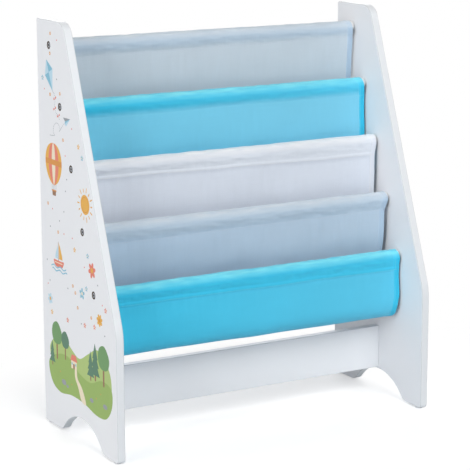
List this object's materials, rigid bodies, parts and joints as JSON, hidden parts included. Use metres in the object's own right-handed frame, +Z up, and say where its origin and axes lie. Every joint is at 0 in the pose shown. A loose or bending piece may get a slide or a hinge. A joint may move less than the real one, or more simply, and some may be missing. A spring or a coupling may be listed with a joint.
{
  "type": "sling bookshelf",
  "caption": "Child's sling bookshelf: shaped side boards with arched feet, round rods, a low rail and sloping cloth pockets that show book covers.",
  "frame": {"origin": "on the floor under the middle of the shelf's outer box", "axes": "+Z up, -Y towards the open front, +X towards the right-hand side board seen from the front"},
  "size_m": [0.63, 0.288, 0.72],
  "materials": {
    "board": "white foil on fibreboard, satin",
    "rod": "white lacquered round wood, satin",
    "cloth_grey_blue": "plain-woven polyester, soft sheen",
    "cloth_bright_blue": "plain-woven polyester, soft sheen",
    "cloth_light_grey": "plain-woven polyester, soft sheen",
    "steel": "zinc plated",
    "brass": "machined",
    "zinc": "die-cast zinc alloy",
    "dowel": "raw beech",
    "glide": "moulded"
  },
  "bodies": {
    "root": {"side_board_left": "board", "side_board_right": "board", "low_rail": "board", "rod_1": "rod", "rod_2": "rod", "rod_3": "rod", "rod_4": "rod", "rod_5": "rod", "sling_piece_1": "cloth_grey_blue", "sling_piece_2": "cloth_bright_blue", "sling_piece_3": "cloth_light_grey", "sling_piece_4": "cloth_grey_blue", "sling_piece_5": "cloth_bright_blue", "rod_bolt_1_left": "steel", "rod_bolt_2_left": "steel", "rod_bolt_3_left": "steel", "rod_bolt_4_left": "steel", "rod_bolt_5_left": "steel", "rod_bolt_1_right": "steel", "rod_bolt_2_right": "steel", "rod_bolt_3_right": "steel", "rod_bolt_4_right": "steel", "rod_bolt_5_right": "steel", "rod_insert_1_left": "brass", "rod_insert_2_left": "brass", "rod_insert_3_left": "brass", "rod_insert_4_left": "brass", "rod_insert_5_left": "brass", "rod_insert_1_right": "brass", "rod_insert_2_right": "brass", "rod_insert_3_right": "brass", "rod_insert_4_right": "brass", "rod_insert_5_right": "brass", "rail_cam_left": "zinc", "rail_cam_right": "zinc", "rail_cam_pin_left": "steel", "rail_cam_pin_right": "steel", "rail_dowel_upper_left": "dowel", "rail_dowel_lower_left": "dowel", "rail_dowel_upper_right": "dowel", "rail_dowel_lower_right": "dowel", "foot_glide_front_left": "glide", "foot_glide_front_right": "glide", "foot_glide_rear_left": "glide", "foot_glide_rear_right": "glide"}
  },
  "joints": []
}
